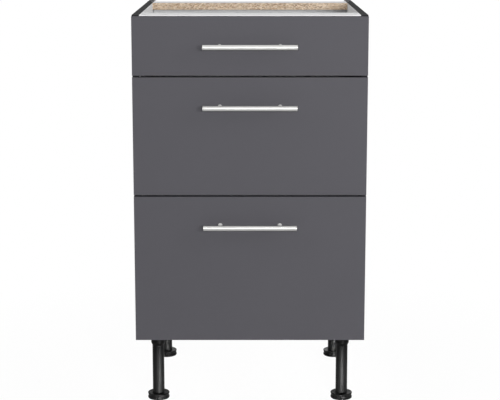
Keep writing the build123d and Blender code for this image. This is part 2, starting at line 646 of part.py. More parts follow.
def save_drawer(number, bottom, top, box_bottom, back_height):
    save(f"drawer_front_{number}", drawer_front(bottom, top, box_bottom))
    save(f"handle_{number}", handle(top - HANDLE_DROP))
    save(f"handle_screws_{number}", handle_screws(top - HANDLE_DROP))
    side = drawer_side_left(box_bottom)
    save(f"drawer_side_left_{number}", side)
    save(f"drawer_side_right_{number}", mirror(side, about=Plane.YZ))
    bottom_board, back_board = drawer_boards(box_bottom, back_height)
    save(f"drawer_bottom_{number}", bottom_board)
    save(f"drawer_back_{number}", back_board)
    save(f"front_brackets_{number}", group(both_sides(front_bracket_left(box_bottom))))
    if number in DEEP_DRAWERS:
        save(f"gallery_rods_{number}", group(both_sides(gallery_rod_left(box_bottom))))


os.makedirs("parts", exist_ok=True)
save_carcass()
save_legs()
for number, (bottom, top, box_bottom, back_height) in DRAWERS.items():
    save_runner(number, box_bottom)
    save_drawer(number, bottom, top, box_bottom, back_height)
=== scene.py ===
import json
import math

import bmesh
import bpy
from mathutils import Matrix, Vector

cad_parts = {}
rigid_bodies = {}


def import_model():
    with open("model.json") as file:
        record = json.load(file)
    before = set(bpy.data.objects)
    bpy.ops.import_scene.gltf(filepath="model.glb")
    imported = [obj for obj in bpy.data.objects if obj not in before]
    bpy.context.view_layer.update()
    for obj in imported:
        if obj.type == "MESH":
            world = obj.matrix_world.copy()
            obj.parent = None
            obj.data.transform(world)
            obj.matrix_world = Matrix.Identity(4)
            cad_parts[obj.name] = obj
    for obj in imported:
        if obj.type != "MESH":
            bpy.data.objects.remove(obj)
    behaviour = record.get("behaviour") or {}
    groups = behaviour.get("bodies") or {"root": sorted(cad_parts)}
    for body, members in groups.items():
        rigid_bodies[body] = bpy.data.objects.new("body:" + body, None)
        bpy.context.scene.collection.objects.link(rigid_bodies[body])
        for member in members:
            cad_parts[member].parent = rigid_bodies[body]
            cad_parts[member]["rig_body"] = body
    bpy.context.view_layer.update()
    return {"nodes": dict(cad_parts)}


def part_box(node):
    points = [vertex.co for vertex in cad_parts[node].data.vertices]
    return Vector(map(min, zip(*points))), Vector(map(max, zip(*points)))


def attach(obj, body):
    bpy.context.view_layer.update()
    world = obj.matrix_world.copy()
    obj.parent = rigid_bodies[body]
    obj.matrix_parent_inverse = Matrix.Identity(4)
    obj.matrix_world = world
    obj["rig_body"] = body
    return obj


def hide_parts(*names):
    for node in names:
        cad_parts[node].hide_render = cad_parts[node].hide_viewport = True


# Base cabinet with three drawers on adjustable legs, dressed over its frame.
# Metres. X runs to the right, Y to the back and Z up, with the origin on the floor.

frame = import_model()
nodes = frame["nodes"]
MM = 0.001
DRAWERS = (1, 2, 3)


# ---- side panels ----
# Chipboard 16 mm thick, pressed between printed papers soaked in melamine resin: anthracite
# outside, white inside. All edges that show have a glued anthracite band, whose colour is
# darkened with painted shade.

OUTSIDE_GREY = "#4f4e53"
# anthracite of the edge bands, darkened below the faces' grey as painted shade
SHADE_DARKENED_BAND_GREY = "#28282a"
INSIDE_WHITE = "#eeeeef"
INSIDE_FACE = 234.0 * MM          # from the middle of the cabinet
PEARL_SIZE = 0.5 * MM             # one bump of the pressed pearl structure
PEARL_RELIEF = 0.25
PRINT_SPECK = 0.3 * MM
PRESS_CLOUD = 90.0 * MM           # slow change of gloss across a pressed board
MELAMINE_ROUGHNESS = 0.58
BAND_ROUGHNESS = 0.95
SIDEWAYS = ((1, 0, 0), (-1, 0, 0))
FRONT_AND_BACK = ((0, -1, 0), (0, 1, 0))
UP_AND_DOWN = ((0, 0, 1), (0, 0, -1))


def linear(code):
    """An sRGB hex colour as linear RGBA."""
    parts = [int(code[place:place + 2], 16) / 255 for place in (1, 3, 5)]
    return [part / 12.92 if part < 0.04045 else ((part + 0.055) / 1.055) ** 2.4 for part in parts] + [1.0]


def start_finish(name, colour, **values):
    """A new material with one colour and plain values on its own shader."""
    finish = bpy.data.materials.new(name)
    finish.use_nodes = True
    shader = finish.node_tree.nodes["Principled BSDF"]
    shader.inputs["Base Color"].default_value = linear(colour)
    for socket, value in values.items():
        shader.inputs[socket.replace("_", " ")].default_value = value
    return finish


def add(finish, kind, inputs=None, output=0, **settings):
    """Adds a node with its settings and its inputs, plain or linked, and gives one output."""
    node = finish.node_tree.nodes.new("ShaderNode" + kind)
    for name, value in settings.items():
        setattr(node, name, value)
    for name, value in (inputs or {}).items():
        if isinstance(value, bpy.types.NodeSocket):
            finish.node_tree.links.new(value, node.inputs[name])
        else:
            node.inputs[name].default_value = value
    return node.outputs[output]


def feed(finish, **links):
    """Links outputs to the finish's own shader."""
    shader = finish.node_tree.nodes["Principled BSDF"]
    for socket, output in links.items():
        finish.node_tree.links.new(output, shader.inputs[socket.replace("_", " ")])


def faces_towards(finish, direction):
    """1 where a surface of the resting piece faces this way, 0 elsewhere."""
    normal = add(finish, "TexCoord", output="Normal")
    along = add(finish, "VectorMath", {0: normal, 1: direction}, output="Value", operation="DOT_PRODUCT")
    return add(finish, "Math", {0: along, 1: 0.7}, operation="GREATER_THAN")


def either(finish, factors):
    """1 where any of several factors is 1."""
    found = factors[0]
    for factor in factors[1:]:
        found = add(finish, "Math", {0: found, 1: factor}, operation="MAXIMUM")
    return found


def pressed_surface(finish, colour, relief, roughness, band=0.0):
    """Pearl structure, printed specks and clouded gloss of a melamine face; bands are scraped dull."""
    place = add(finish, "TexCoord", output="Object")
    pearl = add(finish, "TexNoise", {"Vector": place, "Scale": 1 / PEARL_SIZE, "Detail": 2.0})
    speck = add(finish, "TexNoise", {"Vector": place, "Scale": 1 / PRINT_SPECK, "Detail": 1.0})
    cloud = add(finish, "TexNoise", {"Vector": place, "Scale": 1 / PRESS_CLOUD, "Detail": 3.0})
    shade = add(finish, "MapRange", {"Value": speck, "From Min": 0.3, "From Max": 0.7,
                                     "To Min": 0.93, "To Max": 1.07})
    drift = add(finish, "MapRange", {"Value": cloud, "From Min": 0.3, "From Max": 0.7,
                                     "To Min": 0.985, "To Max": 1.015})
    shade = add(finish, "Math", {0: shade, 1: drift}, operation="MULTIPLY")
    shaded = add(finish, "VectorMath", {0: colour, "Scale": shade}, operation="SCALE")
    rough = add(finish, "MapRange", {"Value": cloud, "From Min": 0.3, "From Max": 0.7,
                                     "To Min": roughness - 0.03, "To Max": roughness + 0.03})
    rough = add(finish, "Mix", {"Factor": band, "A": rough, "B": BAND_ROUGHNESS})
    bump = add(finish, "Bump", {"Height": pearl, "Strength": relief, "Distance": 0.04 * MM})
    feed(finish, Base_Color=shaded, Roughness=rough, Normal=bump)


def side_panel_finish():
    """Anthracite melamine outside, white inside and bands on the edges darkened with painted shade."""
    finish = start_finish("anthracite_and_white_melamine", OUTSIDE_GREY, IOR=1.5, Specular_IOR_Level=0.15)
    place = add(finish, "TexCoord", output="Object")
    x = add(finish, "SeparateXYZ", {"Vector": place}, output="X")
    distance = add(finish, "Math", {0: x}, operation="ABSOLUTE")
    inside = add(finish, "Math", {0: distance, 1: INSIDE_FACE + 0.2 * MM}, operation="LESS_THAN")
    edge = either(finish, [faces_towards(finish, way) for way in UP_AND_DOWN + FRONT_AND_BACK])
    # the edges take the band grey, which carries painted shade
    colour = add(finish, "MixRGB", {"Fac": edge, "Color1": linear(OUTSIDE_GREY), "Color2": linear(SHADE_DARKENED_BAND_GREY)})
    colour = add(finish, "MixRGB", {"Fac": inside, "Color1": colour, "Color2": linear(INSIDE_WHITE)})
    pressed_surface(finish, colour, PEARL_RELIEF, MELAMINE_ROUGHNESS, edge)
    return finish


def dress(names, finish):
    """Gives CAD nodes a finish."""
    for name in names:
        for place in nodes[name].material_slots:
            place.material = finish


dress(["side_panel_left", "side_panel_right"], side_panel_finish())


# ---- bottom, top rails and drawer boards ----
# White melamine-faced chipboard, 16 mm. Edges that show in use are banded white, and the others
# are left as sawn: pale wood chips lying flat, with darker ones between.

SAWN_CREAM = "#d2bea6"
SAWN_TAN = "#b49878"
SAWN_BROWN = "#7c5c42"
CHIP_LENGTH = 3.6 * MM
CHIP_THICKNESS = 1.5 * MM
CHIP_FIBRE = 0.35 * MM
WHITE_RELIEF = 0.2
WHITE_ROUGHNESS = 0.45


def sawn_chipboard(finish):
    """Colour of a sawn edge, with its chips lying flat and along X."""
    place = add(finish, "TexCoord", output="Object")
    thin = 1 / CHIP_THICKNESS
    laid = add(finish, "VectorMath", {0: place, 1: (1 / CHIP_LENGTH, thin, thin)}, operation="MULTIPLY")
    wander = add(finish, "TexNoise", {"Vector": laid, "Scale": 0.8, "Detail": 2.0}, output="Color")
    laid = add(finish, "VectorMath", {0: laid, 1: wander}, operation="ADD")
    chips = add(finish, "TexVoronoi", {"Vector": laid, "Scale": 1.0}, output="Color")
    kind = add(finish, "SeparateXYZ", {"Vector": chips}, output="X")
    tone = add(finish, "SeparateXYZ", {"Vector": chips}, output="Y")
    seam = add(finish, "TexVoronoi", {"Vector": laid, "Scale": 1.0}, output="Distance",
               feature="DISTANCE_TO_EDGE")
    fibre = add(finish, "TexNoise", {"Vector": place, "Scale": 1 / CHIP_FIBRE, "Detail": 2.0})
    ramp = finish.node_tree.nodes.new("ShaderNodeValToRGB")
    finish.node_tree.links.new(kind, ramp.inputs["Fac"])
    ramp.color_ramp.elements[0].color = linear(SAWN_BROWN)
    ramp.color_ramp.elements[0].position = 0.06
    ramp.color_ramp.elements[1].color = linear(SAWN_CREAM)
    ramp.color_ramp.elements[1].position = 0.75
    ramp.color_ramp.elements.new(0.3).color = linear(SAWN_TAN)
    light = add(finish, "MapRange", {"Value": tone, "To Min": 0.76, "To Max": 1.22})
    grain = add(finish, "MapRange", {"Value": fibre, "From Min": 0.3, "From Max": 0.7,
                                     "To Min": 0.9, "To Max": 1.1})
    gap = add(finish, "MapRange", {"Value": seam, "From Max": 0.06, "To Min": 0.72, "To Max": 1.0})
    light = add(finish, "Math", {0: light, 1: grain}, operation="MULTIPLY")
    light = add(finish, "Math", {0: light, 1: gap}, operation="MULTIPLY")
    return add(finish, "VectorMath", {0: ramp.outputs["Color"], "Scale": light}, operation="SCALE")


def white_board_finish(name, sawn_ways):
    """White melamine with the sawn edges facing these ways."""
    finish = start_finish(name, INSIDE_WHITE, IOR=1.5)
    sawn = either(finish, [faces_towards(finish, way) for way in sawn_ways])
    colour = add(finish, "MixRGB", {"Fac": sawn, "Color1": linear(INSIDE_WHITE),
                                    "Color2": sawn_chipboard(finish)})
    pressed_surface(finish, colour, WHITE_RELIEF, WHITE_ROUGHNESS)
    return finish


sawn_behind = white_board_finish("white_melamine_sawn_behind", SIDEWAYS + FRONT_AND_BACK[1:])
sawn_all_round = white_board_finish("white_melamine_sawn_in_front", SIDEWAYS + FRONT_AND_BACK)
sawn_ends = white_board_finish("white_melamine_sawn_ends", SIDEWAYS)
dress(["front_rail", "bottom_panel"], sawn_behind)
dress(["rear_rail"], sawn_all_round)
dress([f"drawer_bottom_{number}" for number in DRAWERS], sawn_all_round)
dress([f"drawer_back_{number}" for number in DRAWERS], sawn_ends)


# ---- back panel ----
# Hardboard 3 mm thick, slid into grooves: wet-pressed wood fibre, white lacquer on the face
# towards the drawers and bare brown fibre with the print of the press screen behind.

BARE_FIBRE = "#8a6b4c"
FIBRE_LENGTH = 1.2 * MM
FIBRE_CLOUD = 22.0 * MM           # darker and lighter lumps of pulp
SCREEN_PITCH = 1.6 * MM


def hardboard_finish():
    """White lacquer in front, and brown fibre with the print of the screen behind."""
    finish = start_finish("white_lacquered_hardboard", INSIDE_WHITE, IOR=1.48)
    place = add(finish, "TexCoord", output="Object")
    bare = faces_towards(finish, (0, 1, 0))
    fibre = add(finish, "TexNoise", {"Vector": place, "Scale": 1 / FIBRE_LENGTH, "Detail": 5.0,
                                     "Roughness": 0.7})
    mottle = add(finish, "TexNoise", {"Vector": place, "Scale": 1 / FIBRE_CLOUD, "Detail": 4.0})
    shade = add(finish, "MapRange", {"Value": fibre, "From Min": 0.3, "From Max": 0.7,
                                     "To Min": 0.75, "To Max": 1.25})
    patch = add(finish, "MapRange", {"Value": mottle, "From Min": 0.3, "From Max": 0.7,
                                     "To Min": 0.92, "To Max": 1.08})
    shade = add(finish, "Math", {0: shade, 1: patch}, operation="MULTIPLY")
    brown = add(finish, "VectorMath", {0: linear(BARE_FIBRE)[:3], "Scale": shade}, operation="SCALE")
    colour = add(finish, "MixRGB", {"Fac": bare, "Color1": linear(INSIDE_WHITE), "Color2": brown})
    turns = add(finish, "VectorMath", {0: place, "Scale": 2 * math.pi / SCREEN_PITCH}, operation="SCALE")
    waves = add(finish, "VectorMath", {0: turns}, operation="SINE")
    across = add(finish, "SeparateXYZ", {"Vector": waves}, output="X")
    up = add(finish, "SeparateXYZ", {"Vector": waves}, output="Z")
    screen = add(finish, "Math", {0: across, 1: up}, operation="MULTIPLY")
    relief = add(finish, "Math", {0: screen, 1: bare}, operation="MULTIPLY")
    height = add(finish, "Math", {0: relief, 1: fibre}, operation="ADD")
    rough = add(finish, "MapRange", {"Value": bare, "To Min": 0.4, "To Max": 0.85})
    bump = add(finish, "Bump", {"Height": height, "Strength": 0.3, "Distance": 0.1 * MM})
    feed(finish, Base_Color=colour, Roughness=rough, Normal=bump)
    return finish


dress(["back_panel"], hardboard_finish())


# ---- knock-down fittings ----
# Die-cast zinc cams with a cross recess, turned steel bolts plated with zinc, and fluted beech
# dowels. Cams are dull and slightly grainy, plated steel is smooth with a cool blue cast.

CAST_ZINC = "#a9abad"
PLATED_STEEL = "#bcc0c6"
BEECH = "#c49a6c"
BEECH_PALE = "#cfa678"
BEECH_DARK = "#a67a4e"
BEECH_RAY = 0.4 * MM
CAM_RADIUS = 7.5 * MM
CAM_DEPTH = 12.5 * MM
CAM_DISH = 0.5 * MM
CAM_RIM = 0.4 * MM                # bevel round the face
CAM_SLOT = 7.0 * MM
CAM_SLOT_END = 2.6 * MM           # past the cam's axis
BOARD = 16.0 * MM
BOLT_LENGTH = 45.0 * MM
BOLT_THREAD_LENGTH = 11.0 * MM
BOLT_THREAD_RADIUS = 2.5 * MM
BOLT_THREAD_PITCH = 1.8 * MM
BOLT_SHANK_RADIUS = 3.0 * MM
BOLT_HEAD_RADIUS = 2.8 * MM
BOLT_NECK_RADIUS = 1.8 * MM
BOLT_NECK = (39.0 * MM, 42.2 * MM)            # start and end of what the cam grips
DOWEL_RADIUS = 4.0 * MM
DOWEL_LENGTH = 30.0 * MM
DOWEL_BEVEL = 1.0 * MM
DOWEL_FLUTES = 18
FLUTE_DEPTH = 0.32 * MM
SHARPEST_SMOOTH_ANGLE = 32        # degrees; a sharper edge shows as an edge
X_AXIS = Vector((1, 0, 0))
Y_AXIS = Vector((0, 1, 0))
Z_AXIS = Vector((0, 0, 1))


def solid_boxes(node):
    """Lowest and highest corner of each separate solid in a CAD node."""
    made = bmesh.new()
    made.from_mesh(nodes[node].data)
    bmesh.ops.remove_doubles(made, verts=made.verts, dist=0.001 * MM)
    left = set(made.verts)
    boxes = []
    while left:
        reached = [left.pop()]
        for vertex in reached:
            for edge in vertex.link_edges:
                other = edge.other_vert(vertex)
                if other in left:
                    left.remove(other)
                    reached.append(other)
        corners = [vertex.co for vertex in reached]
        boxes.append((Vector([min(corner[axis] for corner in corners) for axis in range(3)]),
                      Vector([max(corner[axis] for corner in corners) for axis in range(3)])))
    made.free()
    return sorted(boxes, key=lambda box: [round(value, 5) for value in box[0]])


def turned(profile, steps, relief=None):
    """Mesh turned about Z from (radius, height) points; relief(angle, height) is cut off the radius."""
    made = bmesh.new()
    rings = []
    for radius, height in profile:
        ring = []
        for step in range(steps if radius else 1):
            angle = 2 * math.pi * step / steps
            reach = radius - (relief(angle, height) if relief and radius else 0)
            ring.append(made.verts.new((reach * math.cos(angle), reach * math.sin(angle), height)))
        rings.append(ring)
    for low, high in zip(rings, rings[1:]):
        for step in range(steps):
            corners = [low[step % len(low)], low[(step + 1) % len(low)],
                       high[(step + 1) % len(high)], high[step % len(high)]]
            made.faces.new(list(dict.fromkeys(corners)))
    return finished_mesh(made)


def finished_mesh(made):
    """A plain mesh of a bmesh, which is freed."""
    mesh = bpy.data.meshes.new("piece")
    made.to_mesh(mesh)
    made.free()
    return mesh


def prism(outline, low, high, taper=1.0):
    """Mesh of a flat outline run between two heights, scaled by the taper at the second."""
    made = bmesh.new()
    first = [made.verts.new((x, y, low)) for x, y in outline]
    last = [made.verts.new((x * taper, y * taper, high)) for x, y in outline]
    for near, far, far_last, near_last in zip(first, first[1:] + first[:1], last[1:] + last[:1], last):
        made.faces.new((near, far, far_last, near_last))
    made.faces.new(first[::-1])
    made.faces.new(last)
    return finished_mesh(made)


def cross_recess(span, depth):
    """Punch of a cross recess that narrows into a screw's head, which lies at Z = 0."""
    arm, half = span / 2, span / 8
    quarter = [(half, half), (half, arm), (-half, arm)]
    outline = []
    for turn in range(4):
        spin = Matrix.Rotation(turn * math.pi / 2, 2)
        outline += [tuple(spin @ Vector(corner)) for corner in quarter]
    return prism(outline, -0.3 * MM, depth, 0.5)


def stadium(length, width, depth):
    """Punch for a slot along X with round ends, or a round hole, that works along Z both ways."""
    outline = []
    for side in (1, -1):
        for step in range(9):
            angle = math.pi * (step / 8 - 0.5)
            x = (length - width) / 2 + math.cos(angle) * width / 2
            outline.append((side * x, side * math.sin(angle) * width / 2))
    if length <= width:
        outline.pop()
        outline.pop(8)
    return prism(outline, -depth, depth)


def set_at(place, direction, turn=0.0):
    """Where a piece made along Z goes: its foot at a place, pointing in a direction."""
    aim = Vector(direction).to_track_quat("Z", "X").to_matrix().to_4x4()
    return Matrix.Translation(place) @ aim @ Matrix.Rotation(turn, 4, "Z")


def joined(mesh, places):
    """One mesh of a mesh repeated at several places."""
    made = bmesh.new()
    for place in places:
        moved = mesh.copy()
        moved.transform(place)
        made.from_mesh(moved)
        bpy.data.meshes.remove(moved)
    return finished_mesh(made)


def together(meshes):
    """One mesh of several."""
    made = bmesh.new()
    for mesh in meshes:
        made.from_mesh(mesh)
    return finished_mesh(made)


def cut_away(mesh, punch):
    """The mesh without the space that the punch fills."""
    work = bpy.data.objects.new("work", mesh)
    tool = bpy.data.objects.new("punch", punch)
    for helper in (work, tool):
        bpy.context.scene.collection.objects.link(helper)
    cut = work.modifiers.new("punch", "BOOLEAN")
    cut.operation, cut.solver, cut.object = "DIFFERENCE", "EXACT", tool
    result = bpy.data.meshes.new_from_object(work.evaluated_get(bpy.context.evaluated_depsgraph_get()))
    for helper in (work, tool):
        bpy.data.objects.remove(helper)
    return result


def piece(name, mesh, body, finish, stands_for=()):
    """A mesh as a piece of the cabinet that rides on a body."""
    mesh.materials.clear()
    mesh.materials.append(finish)
    mesh.polygons.foreach_set("material_index", [0] * len(mesh.polygons))
    mesh.shade_smooth()
    mesh.set_sharp_from_angle(angle=math.radians(SHARPEST_SMOOTH_ANGLE))
    mesh.name = name
    made = bpy.data.objects.new(name, mesh)
    bpy.context.scene.collection.objects.link(made)
    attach(made, body)
    if stands_for:
        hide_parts(*stands_for)


def thread(start, end, pitch, depth):
    """Relief of a rolled thread between two heights, running out at both."""
    def relief(angle, height):
        fade = min(1.0, max(0.0, (height - start) / pitch), max(0.0, (end - height) / pitch))
        return fade * depth * (0.5 - 0.5 * math.cos(2 * math.pi * height / pitch - angle))
    return relief


def levels(radius, start, end, step):
    """Points of a straight stretch, close enough together to hold a thread."""
    count = round((end - start) / step)
    return [(radius, start + (end - start) * place / count) for place in range(count + 1)]


def metal_finish(name, colour, roughness, grain, relief, drawn=(1.0, 1.0, 1.0)):
    """A bare or plated metal with a fine grain of one size, drawn out along an axis where it is rolled."""
    finish = start_finish(name, colour, Metallic=1.0)
    place = add(finish, "VectorMath", {0: add(finish, "TexCoord", output="Object"), 1: drawn},
                operation="MULTIPLY")
    noise = add(finish, "TexNoise", {"Vector": place, "Scale": 1 / grain, "Detail": 3.0})
    tone = add(finish, "MapRange", {"Value": noise, "From Min": 0.3, "From Max": 0.7,
                                    "To Min": 0.92, "To Max": 1.06})
    shade = add(finish, "VectorMath", {0: linear(colour)[:3], "Scale": tone}, operation="SCALE")
    rough = add(finish, "MapRange", {"Value": noise, "From Min": 0.3, "From Max": 0.7,
                                     "To Min": roughness - 0.06, "To Max": roughness + 0.06})
    bump = add(finish, "Bump", {"Height": noise, "Strength": relief, "Distance": 0.05 * MM})
    feed(finish, Base_Color=shade, Roughness=rough, Normal=bump)
    return finish


def beech_finish():
    """Turned beech: warm, close grained, with short dark rays along the dowel, which lies along X."""
    finish = start_finish("turned_beech", BEECH, IOR=1.5)
    place = add(finish, "TexCoord", output="Object")
    drawn = add(finish, "VectorMath", {0: place, 1: (0.12, 1.0, 1.0)}, operation="MULTIPLY")
    rays = add(finish, "TexNoise", {"Vector": drawn, "Scale": 1 / BEECH_RAY, "Detail": 3.0})
    mixed = add(finish, "MapRange", {"Value": rays, "From Min": 0.42, "From Max": 0.62})
    colour = add(finish, "MixRGB", {"Fac": mixed, "Color1": linear(BEECH_PALE), "Color2": linear(BEECH_DARK)})
    rough = add(finish, "MapRange", {"Value": rays, "To Min": 0.5, "To Max": 0.75})
    bump = add(finish, "Bump", {"Height": rays, "Strength": 0.2, "Distance": 0.05 * MM})
    feed(finish, Base_Color=colour, Roughness=rough, Normal=bump)
    return finish


def cam_mesh():
    """Cam with a dished face at Z = 0, its cross recess, an arrow and the slot that draws the bolt in."""
    profile = [(0, CAM_DISH), (5.5 * MM, CAM_DISH), (6.1 * MM, 0), (CAM_RADIUS - CAM_RIM, 0),
               (CAM_RADIUS, CAM_RIM), (CAM_RADIUS, CAM_DEPTH), (0, CAM_DEPTH)]
    barrel = cut_away(turned(profile, 48), cross_recess(8.4 * MM, 4.0 * MM))
    arrow = prism([(-7.3 * MM, 0), (-6.2 * MM, -0.7 * MM), (-6.2 * MM, 0.7 * MM)], -0.3 * MM, 0.3 * MM)
    barrel = cut_away(barrel, arrow)
    outside, half = -2 * CAM_RADIUS, CAM_SLOT / 2
    slot = prism([(outside, -half), (CAM_SLOT_END, -half), (CAM_SLOT_END, half), (outside, half)],
                 BOARD / 2 - half, BOARD / 2 + half)
    return cut_away(barrel, slot)


def bolt_mesh():
    """Bolt with its thread in the side panel and its head in the cam."""
    neck_start, neck_end = BOLT_NECK
    profile = [(0, 0), (1.2 * MM, 0)] + levels(BOLT_THREAD_RADIUS, 1.0 * MM, BOLT_THREAD_LENGTH, 0.35 * MM)
    profile += [(2.4 * MM, BOLT_THREAD_LENGTH), (BOLT_SHANK_RADIUS, BOLT_THREAD_LENGTH + 0.5 * MM),
                (BOLT_SHANK_RADIUS, neck_start - 0.6 * MM), (BOLT_NECK_RADIUS, neck_start),
                (BOLT_NECK_RADIUS, neck_end), (BOLT_HEAD_RADIUS, neck_end + 0.2 * MM),
                (BOLT_HEAD_RADIUS, BOLT_LENGTH - 0.6 * MM), (BOLT_HEAD_RADIUS - 0.6 * MM, BOLT_LENGTH),
                (0, BOLT_LENGTH)]
    return turned(profile, 24, thread(0.5 * MM, BOLT_THREAD_LENGTH, BOLT_THREAD_PITCH, 0.7 * MM))


def dowel_mesh():
    """Dowel with straight flutes that let the glue out, and bevelled ends."""
    def flutes(angle, height):
        return FLUTE_DEPTH / 2 * (1 + math.cos(DOWEL_FLUTES * angle))
    inner = DOWEL_RADIUS - DOWEL_BEVEL
    profile = [(0, 0), (inner, 0), (DOWEL_RADIUS, DOWEL_BEVEL), (DOWEL_RADIUS, DOWEL_LENGTH - DOWEL_BEVEL),
               (inner, DOWEL_LENGTH), (0, DOWEL_LENGTH)]
    return turned(profile, 4 * DOWEL_FLUTES, flutes)


def middle_of(box):
    """Middle of a box given by its lowest and highest corner."""
    return (box[0] + box[1]) / 2


cast_zinc = metal_finish("die_cast_zinc", CAST_ZINC, 0.45, 0.8 * MM, 0.4)
plated_steel = metal_finish("zinc_plated_steel", PLATED_STEEL, 0.28, 1.5 * MM, 0.15)
cam_places, bolt_places, dowel_places = [], [], []
for box in solid_boxes("cam_housings"):
    middle = middle_of(box)
    turn = 0.0 if middle.x < 0 else math.pi
    cam_places.append(Matrix.Translation((middle.x, middle.y, box[0].z)) @ Matrix.Rotation(turn, 4, "Z"))
for box in solid_boxes("cam_bolts"):
    middle = middle_of(box)
    side = 1 if middle.x < 0 else -1
    bolt_places.append(set_at(middle - side * X_AXIS * BOLT_LENGTH / 2, side * X_AXIS))
for box in solid_boxes("dowels"):
    dowel_places.append(set_at(middle_of(box) - X_AXIS * DOWEL_LENGTH / 2, X_AXIS))
piece("cams_with_cross_recess", joined(cam_mesh(), cam_places), "cabinet", cast_zinc,
      ["cam_housings"])
piece("threaded_cam_bolts", joined(bolt_mesh(), bolt_places), "cabinet", plated_steel,
      ["cam_bolts"])
piece("fluted_dowels", joined(dowel_mesh(), dowel_places), "cabinet", beech_finish(), ["dowels"])


# ---- wood screws ----
# Countersunk steel screws with a cross recess and a coarse rolled thread, plated with zinc. They
# hold the cabinet rails to the side panels and the leg sockets under the bottom.

SCREW_LENGTH = 15.0 * MM
SCREW_RADIUS = 2.0 * MM
SCREW_HEAD_RADIUS = 4.0 * MM
SCREW_THREAD_START = 2.4 * MM
SCREW_THREAD_END = 13.2 * MM
SCREW_THREAD_PITCH = 1.8 * MM
SCREW_THREAD_DEPTH = 0.6 * MM
SCREW_THREAD_STEP = 0.4 * MM      # between the rings that the thread is made of


def screw_mesh():
    """Screw with its head's face at Z = 0 and its point up."""
    profile = [(0, 0), (SCREW_HEAD_RADIUS - 0.2 * MM, 0), (SCREW_HEAD_RADIUS, 0.2 * MM),
               (SCREW_RADIUS, 2.0 * MM)]
    profile += levels(SCREW_RADIUS, SCREW_THREAD_START, 12.6 * MM, SCREW_THREAD_STEP)
    profile += [(SCREW_RADIUS / 2, SCREW_LENGTH - 1.0 * MM), (0, SCREW_LENGTH)]
    winding = thread(SCREW_THREAD_START, SCREW_THREAD_END, SCREW_THREAD_PITCH, SCREW_THREAD_DEPTH)
    return cut_away(turned(profile, 20, winding), cross_recess(4.4 * MM, 1.6 * MM))


def screw_place(box):
    """A screw's long side gives its direction, and its head faces down or into the cabinet."""
    middle = middle_of(box)
    size = box[1] - box[0]
    direction = Z_AXIS if size.z > size.x else X_AXIS * math.copysign(1, middle.x)
    stopped_at = math.radians(20 + middle.y / MM % 70)
    return set_at(middle - direction * SCREW_LENGTH / 2, direction, stopped_at)


screw_places = [screw_place(box) for box in solid_boxes("wood_screws")]
piece("wood_screws_with_cross_recess", joined(screw_mesh(), screw_places), "cabinet",
      plated_steel, ["wood_screws"])


# ---- legs ----
# Moulded black polypropylene: a socket screwed under the bottom, a tube pushed into it and a foot
# screwed into the tube. A satin skin from the tool gives one soft highlight.

LEG_BLACK = "#030303"
TOOL_GRAIN = 0.35 * MM
FLOW_CLOUD = 25.0 * MM            # slow change of gloss where the melt has flowed
CORNERS = ("front_left", "front_right", "rear_left", "rear_right")
FOOT_RADIUS = 24.3 * MM
FOOT_DISC = 14.0 * MM
FOOT_TOP = 110.0 * MM
FOOT_THREAD_PITCH = 4.0 * MM
FOOT_NOTCH_RADIUS = 2.0 * MM
FOOT_NOTCH_HEIGHT = 9.0 * MM
FOOT_NOTCH_REACH = 1.0 * MM       # of the notch's cutter past the sole
FOOT_TURN = math.radians(-7)      # where the adjusting notches have stopped
SOLE_HOLLOW = 1.2 * MM
SOLE_EDGE = 3.2 * MM              # radius
RIM_HOLLOW = 1.1 * MM
RIM_EDGE = 1.2 * MM               # radius
DISH = 0.6 * MM                   # depth of the ring in the disc's top
STEM_RADIUS = 10.7 * MM


def moulded_finish(name, colour, roughness, relief, mirror_level=0.5):
    """Moulded plastic or cured powder with a fine grain and slow changes of gloss."""
    finish = start_finish(name, colour, IOR=1.49, Specular_IOR_Level=mirror_level)
    place = add(finish, "TexCoord", output="Object")
    grain = add(finish, "TexNoise", {"Vector": place, "Scale": 1 / TOOL_GRAIN, "Detail": 2.0})
    flow = add(finish, "TexNoise", {"Vector": place, "Scale": 1 / FLOW_CLOUD, "Detail": 3.0})
    tone = add(finish, "MapRange", {"Value": flow, "From Min": 0.3, "From Max": 0.7,
                                    "To Min": 0.97, "To Max": 1.03})
    shade = add(finish, "VectorMath", {0: linear(colour)[:3], "Scale": tone}, operation="SCALE")
    rough = add(finish, "MapRange", {"Value": flow, "From Min": 0.3, "From Max": 0.7,
                                     "To Min": roughness - 0.04, "To Max": roughness + 0.04})
    bump = add(finish, "Bump", {"Height": grain, "Strength": relief, "Distance": 0.03 * MM})
    feed(finish, Base_Color=shade, Roughness=rough, Normal=bump)
    return finish


def round_edge(radius, height, size, start, end, steps=6):
    """Points of a rounded edge about its own centre, between two angles in degrees."""
    angles = [math.radians(start + (end - start) * step / steps) for step in range(steps + 1)]
    return [(radius + size * math.cos(angle), height + size * math.sin(angle)) for angle in angles]


